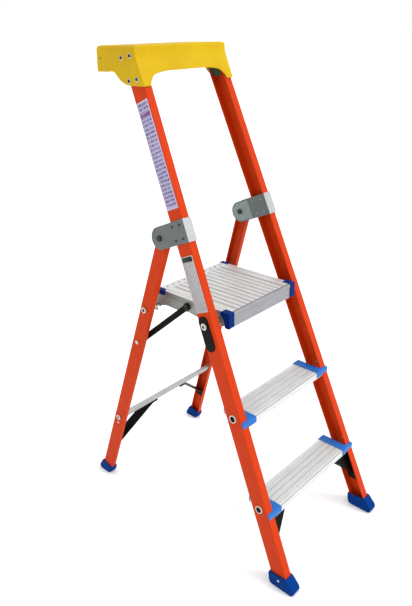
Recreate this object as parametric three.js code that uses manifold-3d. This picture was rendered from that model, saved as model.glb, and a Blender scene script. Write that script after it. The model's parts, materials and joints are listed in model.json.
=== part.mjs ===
// Platform step ladder: fibreglass rails, two treads, a folding platform and a plastic top cap.
// Millimetres, +Z up, the climbing side faces -Y. The origin is on the floor, at the centre of
// the object's box. Each side is modelled once, on the left (-X), and mirrored.
import * as THREE from 'three';
import { mergeVertices } from 'three/addons/utils/BufferGeometryUtils.js';
import Module from 'manifold-3d';

const wasm = await Module();
wasm.setup();

const GAP = 0.35;
const BOX_CENTRE_Y = 471.62;

// Front rails: C-channels with the web outside, leaning to the rear and closing in upwards.
const FRONT = {
  lean: THREE.MathUtils.degToRad(22.6),
  halfWidth: 257.2,
  taper: THREE.MathUtils.degToRad(2.55),
  footY: 0,
  depth: 57.5,
  flange: 28,
  wall: 4.5,
  bottom: 33,
  top: 1712,
};

// Rear rails: lighter channels, leaning to the front.
const REAR = {
  lean: THREE.MathUtils.degToRad(-18.7),
  halfWidth: 263.6,
  taper: THREE.MathUtils.degToRad(3.32),
  footY: 894.3,
  depth: 47,
  flange: 19,
  wall: 4,
  bottom: 16,
  top: 1120,
};

// Pivots, each given along (s) and across (b) the rail that carries it.
const PLATFORM_PIVOT = { b: 35, s: 900 };
const REAR_PIVOT = { b: 123, s: 1190 };
const SUPPORT_BAR = { b: 26, s: 823.7, radius: 8 };
const SPREADER_LOWER = { b: 24, s: 684.3 };
const BRACE_BOLT = { b: 26, s: 306 };
const SPREADER_UPPER = { y: 507.5, z: 824 };

const TREAD = {
  tops: { lower: 255.5, upper: 537.5 },
  depth: 103,
  height: 24,
  wall: 2.4,
  noseAhead: 7,
  bands: 4,
  serrations: 3,
  boltRise: 3.5,
  capWidth: 32,
  capWall: 2.2,
};

const PLATFORM = {
  top: 851,
  front: 327,
  rear: 648,
  sideIn: 157,
  sideOut: 160,
  capIn: 144,
  capOut: 167,
  capReach: 31,
  rearCapIn: 151,
  fasciaHeight: 48,
  ribs: 10,
  seam: 147,
  rearStrip: 36,
};

const CAP = { top: 1588, halfWidth: 190.5, wall: 4, front: 645, rear: 818 };
const ARM = { width: 20, thick: 5, upperX: 162.5, lowerX: 194, eye: 12.5 };
const BRACKET = { low: 1155, high: 1226, wall: 2.8, lobe: 35.5 };
const BRACE = { low: 309, high: 335.5 };
const REAR_KNEE = { bend: 158, foot: 128, thick: 3.5, inner: 62, corner: 90 };
const CAP_BOLTS = { upper: { b: 15, s: 1699 }, lower: { b: 50, s: 1641 } };

function standard(color, roughness, metalness) {
  return new THREE.MeshStandardMaterial({ color, roughness, metalness });
}

const PAINT = {
  fibreglass: standard(0xd64a26, 0.5, 0),
  yellow: standard(0xe8c21c, 0.45, 0),
  blue: standard(0x0d4f9e, 0.55, 0),
  paleBlue: standard(0x3a6fc4, 0.5, 0),
  aluminium: standard(0xd6dad9, 0.4, 0.9),
  bracket: standard(0x9a9c9c, 0.45, 0.8),
  black: standard(0x141414, 0.5, 0.1),
  dark: standard(0x4a5551, 0.6, 0.2),
  steel: standard(0xb8b8b4, 0.35, 0.95),
  label: standard(0xcfcbd4, 0.6, 0),
};

// ---------------------------------------------------------------- geometry helpers

// A closed outline; a third number on a point rounds that corner.
function outline(points) {
  const shape = new THREE.Shape();
  const count = points.length;
  points.forEach(([x, y, radius = 0], index) => {
    const here = new THREE.Vector2(x, y);
    const before = new THREE.Vector2(...points[(index + count - 1) % count].slice(0, 2));
    const after = new THREE.Vector2(...points[(index + 1) % count].slice(0, 2));
    const start = here.clone().add(before.sub(here).setLength(radius));
    const end = here.clone().add(after.sub(here).setLength(radius));
    if (index === 0) shape.moveTo(start.x, start.y);
    else shape.lineTo(start.x, start.y);
    if (radius > 0) shape.quadraticCurveTo(here.x, here.y, end.x, end.y);
  });
  return shape;
}

function extrude(shape, length, curveSegments = 4) {
  return new THREE.ExtrudeGeometry(shape, { depth: length, bevelEnabled: false, curveSegments });
}

// An outline in (y, z), swept along X from x0 to x1.
function alongX(shape, x0, x1, curveSegments) {
  const geometry = extrude(shape, x1 - x0, curveSegments);
  const axes = new THREE.Matrix4().makeBasis(
    new THREE.Vector3(0, 1, 0),
    new THREE.Vector3(0, 0, 1),
    new THREE.Vector3(1, 0, 0),
  );
  return geometry.applyMatrix4(axes).translate(x0, 0, 0);
}

// An outline in (x, z), swept along Y from y0 to y1.
function alongY(shape, y0, y1, curveSegments) {
  const geometry = extrude(shape, y1 - y0, curveSegments);
  return geometry.rotateX(Math.PI / 2).translate(0, y1, 0);
}

// An outline in (x, y), swept along Z from z0 to z1.
function alongZ(shape, z0, z1, curveSegments) {
  return extrude(shape, z1 - z0, curveSegments).translate(0, 0, z0);
}

function box(x0, x1, y0, y1, z0, z1) {
  const geometry = new THREE.BoxGeometry(x1 - x0, y1 - y0, z1 - z0);
  return geometry.translate((x0 + x1) / 2, (y0 + y1) / 2, (z0 + z1) / 2);
}

// A stepped round pin along X: steps are [x, radius of the stretch that starts there], then endX.
function pinAlongX(steps, endX, y, z, sides = 14) {
  const profile = [new THREE.Vector2(0, steps[0][0])];
  steps.forEach(([x, radius], index) => {
    const nextX = index + 1 < steps.length ? steps[index + 1][0] : endX;
    profile.push(new THREE.Vector2(radius, x), new THREE.Vector2(radius, nextX));
  });
  profile.push(new THREE.Vector2(0, endX));
  const geometry = new THREE.LatheGeometry(profile, sides);
  return geometry.rotateZ(-Math.PI / 2).translate(0, y, z);
}

function rodAlongX(radius, x0, x1, y, z, sides = 14) {
  return pinAlongX([[x0, radius]], x1, y, z, sides);
}

function toSolid(geometry) {
  const bare = geometry.clone();
  bare.deleteAttribute('normal');
  bare.deleteAttribute('uv');
  const merged = mergeVertices(bare, 1e-4);
  const vertProperties = new Float32Array(merged.attributes.position.array);
  const triVerts = new Uint32Array(merged.index.array);
  return new wasm.Manifold(new wasm.Mesh({ numProp: 3, vertProperties, triVerts }));
}

function toGeometry(solid) {
  const mesh = solid.getMesh();
  const geometry = new THREE.BufferGeometry();
  geometry.setAttribute('position', new THREE.BufferAttribute(mesh.vertProperties, 3));
  geometry.setIndex(new THREE.BufferAttribute(mesh.triVerts, 1));
  return geometry;
}

function cut(geometry, tools) {
  return toGeometry(tools.reduce((solid, tool) => solid.subtract(toSolid(tool)), toSolid(geometry)));
}

function join(pieces) {
  const [first, ...rest] = pieces.map(toSolid);
  return toGeometry(rest.reduce((solid, piece) => solid.add(piece), first));
}

function intersect(first, second) {
  return toGeometry(toSolid(first).intersect(toSolid(second)));
}

// ---------------------------------------------------------------- rail frames

// A rail's own frame: x goes inwards from the web's outer face, y across its depth, z along it.
function railFrame(rail) {
  const lean = new THREE.Matrix4().makeRotationX(-rail.lean).setPosition(0, rail.footY, 0);
  const taper = new THREE.Matrix4().makeRotationY(rail.taper).setPosition(-rail.halfWidth, 0, 0);
  return lean.multiply(taper);
}

// The place in (y, z) of a point given along and across a rail.
function place(rail, { b, s }) {
  const rise = s * Math.cos(rail.taper);
  const y = rail.footY + rise * Math.sin(rail.lean) + b * Math.cos(rail.lean);
  return { y, z: rise * Math.cos(rail.lean) - b * Math.sin(rail.lean) };
}

// Half width over the rail's webs at a point given along the rail.
function halfWidthAt(rail, s) {
  return rail.halfWidth - s * Math.sin(rail.taper);
}

function inRail(rail, geometry) {
  return geometry.applyMatrix4(railFrame(rail));
}

const pivotA = place(FRONT, PLATFORM_PIVOT);
const pivotB = place(FRONT, REAR_PIVOT);
const pivotD = place(REAR, SPREADER_LOWER);
const barAt = place(REAR, SUPPORT_BAR);
const braceBoltAt = place(REAR, BRACE_BOLT);

// ---------------------------------------------------------------- rails and boots

function channel(rail, holes) {
  const { depth, flange, wall } = rail;
  const section = outline([
    [0, 0, 3],
    [flange, 0, 1.2],
    [flange, wall, 1.2],
    [wall, wall, 2],
    [wall, depth - wall, 2],
    [flange, depth - wall, 1.2],
    [flange, depth, 1.2],
    [0, depth, 3],
  ]);
  const bar = alongZ(section, rail.bottom, rail.top, 2);
  const drills = holes.map(({ b, s, radius }) => rodAlongX(radius, -5, wall + 5, b, s));
  return inRail(rail, cut(bar, drills));
}

function treadBolt(top) {
  const b = 30;
  const z = top + TREAD.boltRise;
  const s = (z + b * Math.sin(FRONT.lean)) / Math.cos(FRONT.lean) / Math.cos(FRONT.taper);
  return { b, s };
}

function frontRail() {
  const holes = [
    { ...PLATFORM_PIVOT, radius: 6.8 },
    { ...treadBolt(TREAD.tops.lower), radius: 5.4 },
    { ...treadBolt(TREAD.tops.upper), radius: 5.4 },
    { ...CAP_BOLTS.upper, radius: 3.6 },
    { ...CAP_BOLTS.lower, radius: 3.6 },
  ];
  return channel(FRONT, holes);
}

function rearRail() {
  const dy = pivotB.y - REAR.footY;
  const pivot = {
    b: dy * Math.cos(REAR.lean) - pivotB.z * Math.sin(REAR.lean),
    s: (pivotB.z * Math.cos(REAR.lean) + dy * Math.sin(REAR.lean)) / Math.cos(REAR.taper),
  };
  const holes = [
    { ...pivot, radius: 6.8 },
    { ...SUPPORT_BAR, radius: 5.8 },
    { ...SPREADER_LOWER, radius: 5.8 },
    { ...BRACE_BOLT, radius: 5.8 },
  ];
  return channel(REAR, holes);
}

function boot(rail, shape, outerX, innerX) {
  const body = alongX(shape, -outerX, -innerX, 4);
  const { depth, flange, bottom } = rail;
  const pocket = box(-GAP, flange + GAP, -GAP, depth + GAP, bottom - GAP, bottom + 200);
  return cut(body, [inRail(rail, pocket)]);
}

function frontBoot() {
  const shape = outline([
    [-7, 0, 4],
    [-13, 7, 5],
    [-12, 20, 8],
    [17, 52, 4],
    [87, 46, 5],
    [84, 12, 6],
    [76, 0, 4],
  ]);
  return boot(FRONT, shape, 262, 221.5);
}

function rearBoot() {
  const shape = outline([
    [896, 0, 4],
    [889, 8, 5],
    [879.5, 33, 3],
    [932, 50.5, 4],
    [949, 26, 10],
    [957, 9, 5],
    [952, 0, 3],
  ]);
  return boot(REAR, shape, 267.6, 236);
}

// ---------------------------------------------------------------- treads

// Half length that fits between the rails' flanges at the height of a tread's top.
function treadHalfLength(top) {
  const s = top / Math.cos(FRONT.lean) + FRONT.depth * Math.tan(FRONT.lean);
  return halfWidthAt(FRONT, s) - FRONT.flange - 1.3;
}

function treadNose(top) {
  return top * Math.tan(FRONT.lean) - TREAD.noseAhead;
}

function tread(top) {
  const { depth, height, wall, bands, serrations } = TREAD;
  const points = [[0, -height], [0, 0, 5]];
  const start = 9;
  const band = (depth - 2 * start) / bands;
  const groove = (y, width, deep) => {
    points.push([y, 0], [y + 0.6, -deep], [y + width - 0.6, -deep], [y + width, 0]);
  };
  for (let i = 0; i < bands; i += 1) {
    const y = start + i * band;
    if (i > 0) groove(y - 1.8, 3.6, 1.5);
    for (let k = 0; k < serrations; k += 1) {
      groove(y + 3.6 + k * (band - 5.2) / serrations, 2, 0.6);
    }
  }
  points.push([depth, 0, 3], [depth, -height], [depth - wall, -height]);
  points.push([depth - wall, -wall], [wall, -wall], [wall, -height]);
  const half = treadHalfLength(top);
  return alongX(outline(points), -half, half, 3).translate(0, treadNose(top), top);
}

// The end cap covers the tread's end and carries on as a wedge in front of the rail's flange.
function treadCap(top) {
  const { depth, height, capWidth, capWall } = TREAD;
  const inner = treadHalfLength(top);
  const skin = capWall + GAP;
  const shell = outline([
    [-skin, -height + 4, 2],
    [-skin, capWall, 6],
    [depth + skin, capWall, 4],
    [depth + skin, -height + 6],
    [depth + GAP, -height + 6],
    [depth + GAP, GAP, 1],
    [-GAP, GAP, 2],
    [-GAP, -height + 4],
  ]);
  const slope = Math.tan(FRONT.lean);
  const railY = (z) => TREAD.noseAhead + z * slope - GAP / Math.cos(FRONT.lean);
  const low = -height + 9;
  const wedge = outline([
    [-skin, low],
    [-skin, capWall, 5],
    [railY(capWall), capWall],
    [railY(low), low],
  ]);
  const outer = halfWidthAt(FRONT, top / Math.cos(FRONT.lean)) - 1;
  const pieces = [
    alongX(shell, -inner - 0.7, -inner + capWidth, 4),
    alongX(wedge, -outer, -inner - 0.5, 4),
  ];
  return join(pieces).translate(0, treadNose(top), top);
}

function treadFastener(top) {
  const at = treadBolt(top);
  const steps = [[-3.4, 11.5], [-GAP, 5]];
  return inRail(FRONT, pinAlongX(steps, 18, at.b, at.s));
}

// A strut from under the lower tread out to the rail's web.
function treadKnee() {
  const webX = halfWidthAt(FRONT, 152) - FRONT.wall - 0.8;
  const high = TREAD.tops.lower - TREAD.wall - GAP;
  const thick = 4;
  const shape = outline([
    [-84, high],
    [-110.5, high],
    [-webX, 130],
    [-webX, 104],
    [-webX + thick, 104],
    [-webX + thick, 128.5],
    [-109, high - thick],
    [-84, high - thick],
  ].reverse());
  // The bar leans with the rail, so that it stays between the rail's flanges all the way down.
  const shear = new THREE.Matrix4().makeShear(0, 0, 0, 0, 0, Math.tan(FRONT.lean));
  return alongY(shape, 20, 52).applyMatrix4(shear);
}

// ---------------------------------------------------------------- top cap

function topCap() {
  const { top, halfWidth, wall, front, rear } = CAP;
  const slope = Math.tan(FRONT.lean);
  const ahead = 5.6;
  const skin = outline([
    [1481 * slope - ahead, 1481, 4],
    [686, 1481, 8],
    [716, 1491, 14],
    [742, 1517, 10],
    [rear + 2, 1514.5, 3],
    [rear - 2, top, 8],
    [front, top, 6],
    [front, (front + ahead) / slope, 12],
  ]);
  const hollow = outline([
    [1440 * slope - 0.9, 1440],
    [rear - wall + 3, 1440],
    [rear - wall - 1, top - wall, 5],
    [front + wall, top - wall, 4],
    [front + wall, (front + wall + 0.9) / slope, 8],
  ]);
  const arch = outline([
    [-165, 1400],
    [165, 1400],
    [162, 1486, 8],
    [143, 1509, 16],
    [96, 1517, 26],
    [-96, 1517, 26],
    [-143, 1509, 16],
    [-162, 1486, 8],
  ]);
  const inner = halfWidth - wall;
  const round = 14;
  const outside = alongY(outline([
    [-halfWidth, 1400],
    [halfWidth, 1400],
    [halfWidth, top, round],
    [-halfWidth, top, round],
  ]), 560, rear + 20, 5);
  const inside = alongY(outline([
    [-inner, 1400],
    [inner, 1400],
    [inner, top - wall, round - wall],
    [-inner, top - wall, round - wall],
  ]), 560, rear + 20, 5);
  const drills = Object.values(CAP_BOLTS).flatMap((at) => {
    const { y, z } = place(FRONT, at);
    return [-1, 1].map((side) => rodAlongX(3.6, side * halfWidth - 5, side * halfWidth + 5, y, z));
  });
  return cut(intersect(alongX(skin, -halfWidth, halfWidth, 5), outside), [
    intersect(alongX(hollow, -inner, inner, 4), inside),
    alongY(arch, 560, 690, 4),
    ...drills,
  ]);
}

// The plate that closes the open side of the rail inside the cap's leg.
function capBrace() {
  const x = halfWidthAt(FRONT, FRONT.top) - FRONT.flange - 0.8;
  const shape = outline([
    [629, 1488, 3],
    [662, 1488, 10],
    [700, 1530, 8],
    [700, 1578, 3],
    [664, 1578, 3],
  ]);
  return alongX(shape, -x, -x + 3, 4);
}

function capBolt(at) {
  const { y, z } = place(FRONT, at);
  const head = CAP.halfWidth + GAP;
  return pinAlongX([[-head - 2.6, 6], [-head, 3]], -head + 16, y, z, 12);
}

// ---------------------------------------------------------------- hinge and platform pivot

function hingeBracket() {
  const { low, high, wall, lobe } = BRACKET;
  const shape = new THREE.Shape();
  shape.moveTo(-wall - GAP, low);
  shape.lineTo(REAR_PIVOT.b, low);
  shape.absarc(REAR_PIVOT.b, REAR_PIVOT.s, lobe, -Math.PI / 2, Math.PI / 2);
  shape.lineTo(-wall - GAP, high);
  const inner = FRONT.flange + GAP;
  const pieces = [
    alongX(shape, -wall - GAP, -GAP, 16),
    alongX(shape, inner, inner + wall, 16),
    box(-wall - GAP, inner + wall, -wall - GAP, -GAP, low, high),
  ];
  const drill = rodAlongX(6.8, -FRONT.halfWidth, -PLATFORM.sideOut, pivotB.y, pivotB.z);
  return cut(inRail(FRONT, join(pieces)), [drill]);
}

function hingePin() {
  const web = halfWidthAt(FRONT, REAR_PIVOT.s);
  const outer = web + BRACKET.wall + 1;
  const inner = web - FRONT.flange - BRACKET.wall - 1.1;
  const steps = [[-outer - 4, 9.5], [-outer, 6], [-inner, 9]];
  return pinAlongX(steps, -inner + 4, pivotB.y, pivotB.z, 18);
}

function pivotPlate() {
  const half = 19.5;
  const low = 818 + half;
  const high = 931 - half;
  const shape = new THREE.Shape();
  shape.absarc(PLATFORM_PIVOT.b + 1, high, half, 0, Math.PI);
  shape.absarc(PLATFORM_PIVOT.b + 1, low, half, Math.PI, 2 * Math.PI);
  const plate = alongX(shape, -3.3, -GAP, 12);
  const drill = rodAlongX(6.8, -8, 4, PLATFORM_PIVOT.b, PLATFORM_PIVOT.s);
  return inRail(FRONT, cut(plate, [drill]));
}

function platformPivot() {
  const web = halfWidthAt(FRONT, PLATFORM_PIVOT.s);
  const outer = web + 4.9;
  const steps = [
    [-outer - 2.6, 11.5],
    [-outer, 6],
    [-web + FRONT.wall + 1.6, 9.5],
    [-PLATFORM.sideOut - GAP, 6],
    [-PLATFORM.sideIn + GAP, 10],
  ];
  return pinAlongX(steps, -PLATFORM.sideIn + 5, pivotA.y, pivotA.z, 16);
}

function label(low, high) {
  const shape = outline([[3, low, 2], [54.5, low, 2], [54.5, high, 2], [3, high, 2]]);
  return inRail(FRONT, alongX(shape, -GAP - 0.6, -GAP, 2));
}

// ---------------------------------------------------------------- rear frame

function rearBrace() {
  const half = halfWidthAt(REAR, BRACE.high) - REAR.wall - 1;
  const section = outline([
    [10, BRACE.low],
    [20, BRACE.low],
    [20, BRACE.low + 2],
    [11.6, BRACE.low + 2],
    [6.6, 324],
    [6.6, BRACE.high - 2],
    [19, BRACE.high - 2],
    [19, BRACE.high],
    [4.6, BRACE.high, 2],
    [4.6, 323.5],
  ]);
  const lean = new THREE.Matrix4().makeRotationX(-REAR.lean).setPosition(0, REAR.footY, 0);
  return alongX(section, -half, half).applyMatrix4(lean);
}

function rearKnee() {
  const { bend, foot, thick, inner, corner } = REAR_KNEE;
  const [bendX, footX] = [bend, foot].map((s) => halfWidthAt(REAR, s) - REAR.wall - 0.9);
  const high = BRACE.low - GAP;
  const shape = outline([
    [-inner, high],
    [-corner, high],
    [-bendX, bend],
    [-footX, foot],
    [-footX + thick, foot],
    [-bendX + thick, bend - 1.5],
    [1.5 - corner, high - thick],
    [-inner, high - thick],
  ].reverse());
  const lean = new THREE.Matrix4().makeRotationX(-REAR.lean).setPosition(0, REAR.footY, 0);
  // Only the part under the brace's flange reaches the brace; the strut below it is wider.
  const strut = alongY(shape, REAR.wall + 1, REAR.depth - REAR.wall - 2);
  const notch = box(-corner - 6, 5 - inner, 21, REAR.depth, high - 9, high + 5);
  return cut(strut, [notch]).applyMatrix4(lean);
}

function braceBolt() {
  const web = halfWidthAt(REAR, BRACE_BOLT.s);
  const steps = [[-web - 4.2, 10.5], [-web - 1, 5]];
  return pinAlongX(steps, -web + REAR.wall + 14, braceBoltAt.y, braceBoltAt.z);
}

function supportBar() {
  const web = halfWidthAt(REAR, SUPPORT_BAR.s);
  const head = web + 1;
  const inside = web - REAR.wall - 1;
  const steps = [
    [-head - 3.2, 10.5],
    [-head, 5],
    [-inside, SUPPORT_BAR.radius],
    [inside, 5],
    [head, 10.5],
  ];
  return pinAlongX(steps, head + 3.2, barAt.y, barAt.z, 16);
}

function spreaderPin() {
  const web = halfWidthAt(REAR, SPREADER_LOWER.s);
  const outer = web + 0.9;
  const steps = [
    [-outer - 3, 7.5],
    [-outer, 5],
    [-web + REAR.wall + 1, 8],
    [-ARM.lowerX - ARM.thick - GAP, 5],
    [-ARM.lowerX + GAP, 8],
  ];
  return pinAlongX(steps, -ARM.lowerX + 3.2, pivotD.y, pivotD.z);
}

// ---------------------------------------------------------------- platform

function platformDeck() {
  const { top, sideIn, sideOut, ribs, seam, front, rear, rearStrip, capIn, capReach } = PLATFORM;
  const under = top - 5;
  const plate = top - 2.4;
  const strip = 122;
  const points = [[-sideIn + GAP, under], [sideIn - GAP, under]];
  points.push([sideIn - GAP, plate + GAP], [sideOut + 0.2, plate + GAP], [sideOut + 0.2, top + 0.3, 1]);
  points.push([seam + 1.2, top + 0.3], [seam + 0.8, top - 1]);
  points.push([seam - 0.8, top - 1], [seam - 1.2, top + 0.3]);
  points.push([strip, top + 0.3, 1], [strip, plate - 0.8], [strip - 4, plate - 0.8], [strip - 4, plate]);
  const pitch = (2 * (strip - 6)) / ribs;
  const rib = 14;
  for (let i = 0; i < ribs; i += 1) {
    const x = strip - 6 - i * pitch - (pitch - rib) / 2;
    points.push([x, plate], [x - 0.9, top], [x - rib + 0.9, top], [x - rib, plate]);
  }
  points.push([4 - strip, plate], [4 - strip, plate - 0.8], [-strip, plate - 0.8]);
  points.push([-strip, top + 0.3, 1]);
  points.push([1.2 - seam, top + 0.3], [0.8 - seam, top - 1]);
  points.push([-seam - 0.8, top - 1], [-seam - 1.2, top + 0.3]);
  points.push([-sideOut - 0.2, top + 0.3, 1]);
  points.push([-sideOut - 0.2, plate + GAP], [-sideIn + GAP, plate + GAP]);
  const deck = alongY(outline(points), front + 9.8, rear - rearStrip - GAP, 2);
  // The corner caps sit in shallow rebates, so nothing overhangs the deck's flat side strips.
  const inner = capIn - GAP;
  const rebates = [-sideOut - 5, inner].map((x) => {
    return box(x, x + sideOut + 5 - inner, front, front + capReach + GAP, top - 0.3, top + 5);
  });
  return cut(deck, rebates);
}

// A side plate: pivot at the front, arch below, and a hook that drops onto the support bar.
function platformSide() {
  const { top, sideIn, sideOut, rear, rearStrip, front } = PLATFORM;
  const shape = outline([
    [front + 9, 848.2],
    [front + 9, 822, 4],
    [352, 801, 10],
    [400, 797, 20],
    [480, 800, 10],
    [507, 806, 14],
    [530, 798, 10],
    [560, 796, 20],
    [612, 799, 14],
    [637, 789, 6],
    [652, 768, 4],
    [670, 766, 8],
    [672, top - 16, 8],
    [rear - rearStrip - 0.8, top - 16],
    [rear - rearStrip - 0.8, 848.2],
  ]);
  const plate = alongX(shape, -sideOut, -sideIn, 4);
  const slotRadius = SUPPORT_BAR.radius + 1.4;
  const exit = new THREE.Vector2(-5.4, -7.1).setLength(50);
  const slot = alongX(outline([
    [barAt.y + exit.x - slotRadius * 0.8, barAt.z + exit.y + slotRadius * 0.6],
    [barAt.y + exit.x + slotRadius * 0.8, barAt.z + exit.y - slotRadius * 0.6],
    [barAt.y + slotRadius * 0.8, barAt.z - slotRadius * 0.6],
    [barAt.y - slotRadius * 0.8, barAt.z + slotRadius * 0.6],
  ]), -sideOut - 5, -sideIn + 5);
  return cut(plate, [
    rodAlongX(slotRadius, -sideOut - 5, -sideIn + 5, barAt.y, barAt.z, 24),
    slot,
    rodAlongX(6.6, -sideOut - 5, -sideIn + 5, pivotA.y, pivotA.z, 24),
  ]);
}

function platformFascia() {
  const { top, front, capIn, fasciaHeight } = PLATFORM;
  const low = top - fasciaHeight;
  const shape = outline([
    [front + 9, low],
    [front + 9, low + 2.4],
    [front + 2.5, low + 2.4],
    [front + 2.5, top - 12],
    [front + 9.3, top - 12],
    [front + 9.3, top + 0.2],
    [front - 1.5, top + 0.2, 5],
    [front - 1.5, top - 12, 2],
    [front, top - 12.5],
    [front, low],
  ].reverse());
  return alongX(shape, -capIn + 0.5, capIn - 0.5, 4);
}

function platformCap() {
  const { top, front, capIn, capOut, capReach, sideOut, fasciaHeight } = PLATFORM;
  const low = top - fasciaHeight - 1;
  const high = top + 2.6;
  const cheek = outline([
    [front - 3, low, 4],
    [front - 3, high, 6],
    [front + capReach + 3, high, 5],
    [front + capReach + 3, high - 12, 5],
    [front + 24, high - 20, 6],
    [front + 17, low + 18, 8],
    [front + 16, low, 3],
  ].reverse());
  const sideX = sideOut + 0.6;
  return join([
    alongX(cheek, -capOut, -sideX, 4),
    box(-sideX - 1, -capIn, front - 3, front + 8.6, low + 3, high - 0.6),
    box(-sideX - 1, -capIn, front - 2, front + capReach, top + 0.05, high - 0.4),
  ]);
}

function platformRearStrip() {
  const { top, rear, rearStrip, rearCapIn } = PLATFORM;
  const half = rearCapIn - GAP;
  const start = rear - rearStrip;
  const shape = outline([
    [start, top - 2.6],
    [rear - 2.6, top - 2.6],
    [rear - 2.6, top - 26],
    [rear, top - 26],
    [rear, top, 3],
    [start, top],
  ].reverse());
  const holes = [];
  for (let i = -5; i <= 5; i += 1) {
    const drill = new THREE.CylinderGeometry(4, 4, 12, 12).rotateX(Math.PI / 2);
    holes.push(drill.translate(i * 26, start + 18, top));
  }
  return cut(alongX(shape, -half, half, 3), holes);
}

function platformRearCap() {
  const { top, rear, rearStrip, rearCapIn, capOut } = PLATFORM;
  const start = rear - rearStrip;
  const shape = outline([
    [start, top - 15.5],
    [rear + 3, top - 15.5, 4],
    [rear + 3, top + 2, 6],
    [start, top + 2, 2],
  ]);
  return alongX(shape, -capOut + 1, -rearCapIn, 4);
}

// ---------------------------------------------------------------- spreader arms

// A flat arm with a joggle: its upper eye lies close to the platform, its lower eye further out.
function spreader() {
  const run = pivotD.y - SPREADER_UPPER.y;
  const drop = pivotD.z - SPREADER_UPPER.z;
  const length = Math.hypot(run, drop);
  const { width, thick, upperX, lowerX, eye } = ARM;
  const flat = 26;
  const plan = outline([
    [-eye, -upperX - thick],
    [flat, -upperX - thick],
    [length - flat, -lowerX - thick],
    [length + eye, -lowerX - thick],
    [length + eye, -lowerX],
    [length - flat, -lowerX],
    [flat, -upperX],
    [-eye, -upperX],
  ]);
  const bar = alongZ(plan, -eye, eye);
  const side = new THREE.Shape();
  const half = width / 2;
  const reach = Math.sqrt(eye * eye - half * half);
  const turn = Math.asin(half / eye);
  side.moveTo(reach, half);
  side.absarc(0, 0, eye, turn, 2 * Math.PI - turn);
  side.lineTo(length - reach, -half);
  side.absarc(length, 0, eye, Math.PI + turn, Math.PI - turn + 2 * Math.PI);
  side.lineTo(reach, half);
  const profile = alongY(side, -lowerX - 20, -upperX + 20, 12);
  const drills = [0, length].map((x) => {
    const drill = new THREE.CylinderGeometry(5.5, 5.5, 100, 20);
    return drill.translate(x, -(upperX + lowerX) / 2, 0);
  });
  const flatArm = cut(intersect(bar, profile), drills);
  const axes = new THREE.Matrix4().makeBasis(
    new THREE.Vector3(0, run / length, drop / length),
    new THREE.Vector3(1, 0, 0),
    new THREE.Vector3(0, drop / length, -run / length),
  );
  axes.setPosition(0, SPREADER_UPPER.y, SPREADER_UPPER.z);
  return flatArm.applyMatrix4(axes);
}

function spreaderRivet() {
  const { upperX, thick } = ARM;
  const outer = upperX + thick + GAP;
  const steps = [[-outer - 2.6, 8.5], [-outer, 5]];
  const { y, z } = SPREADER_UPPER;
  return pinAlongX(steps, -PLATFORM.sideOut - 0.8, y, z);
}

// ---------------------------------------------------------------- assembly

const ladder = new THREE.Group();
ladder.position.y = -BOX_CENTRE_Y;

function addMesh(parent, name, geometry, material) {
  const mesh = new THREE.Mesh(geometry, material);
  mesh.name = name;
  parent.add(mesh);
}

const single = [
  ['top_cap', topCap, PAINT.yellow],
  ['lower_tread', () => tread(TREAD.tops.lower), PAINT.aluminium],
  ['upper_tread', () => tread(TREAD.tops.upper), PAINT.aluminium],
  ['rear_brace', rearBrace, PAINT.aluminium],
  ['support_bar', supportBar, PAINT.steel],
  ['platform_deck', platformDeck, PAINT.aluminium],
  ['platform_fascia', platformFascia, PAINT.aluminium],
  ['platform_rear_strip', platformRearStrip, PAINT.aluminium],
];

const paired = [
  ['front_rail', frontRail, PAINT.fibreglass],
  ['front_boot', frontBoot, PAINT.blue],
  ['cap_brace', capBrace, PAINT.dark],
  ['cap_bolt_upper', () => capBolt(CAP_BOLTS.upper), PAINT.steel],
  ['cap_bolt_lower', () => capBolt(CAP_BOLTS.lower), PAINT.steel],
  ['lower_tread_cap', () => treadCap(TREAD.tops.lower), PAINT.paleBlue],
  ['upper_tread_cap', () => treadCap(TREAD.tops.upper), PAINT.paleBlue],
  ['lower_tread_bolt', () => treadFastener(TREAD.tops.lower), PAINT.steel],
  ['upper_tread_bolt', () => treadFastener(TREAD.tops.upper), PAINT.steel],
  ['tread_knee', treadKnee, PAINT.black],
  ['hinge_bracket', hingeBracket, PAINT.bracket],
  ['hinge_pin', hingePin, PAINT.steel],
  ['pivot_plate', pivotPlate, PAINT.black],
  ['platform_pivot', platformPivot, PAINT.steel],
  ['upper_label', () => label(1259, 1576), PAINT.label],
  ['lower_label', () => label(942, 1117), PAINT.label],
  ['rear_rail', rearRail, PAINT.fibreglass],
  ['rear_boot', rearBoot, PAINT.blue],
  ['rear_knee', rearKnee, PAINT.black],
  ['rear_brace_bolt', braceBolt, PAINT.steel],
  ['spreader_pin', spreaderPin, PAINT.steel],
  ['platform_side', platformSide, PAINT.aluminium],
  ['platform_cap', platformCap, PAINT.blue],
  ['platform_rear_cap', platformRearCap, PAINT.blue],
  ['spreader', spreader, PAINT.black],
  ['spreader_rivet', spreaderRivet, PAINT.steel],
];

for (const [name, make, material] of single) {
  addMesh(ladder, name, make(), material);
}

const leftSide = new THREE.Group();
const rightSide = new THREE.Group();
rightSide.scale.x = -1;
ladder.add(leftSide, rightSide);
for (const [name, make, material] of paired) {
  const geometry = make();
  addMesh(leftSide, `${name}_left`, geometry, material);
  addMesh(rightSide, `${name}_right`, geometry, material);
}

export default ladder;
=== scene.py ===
"""Looks for the platform step ladder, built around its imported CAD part. Metres, +Z up."""
import json
import math
from functools import partial

import bmesh
import bpy
from mathutils import Matrix, Vector


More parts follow.
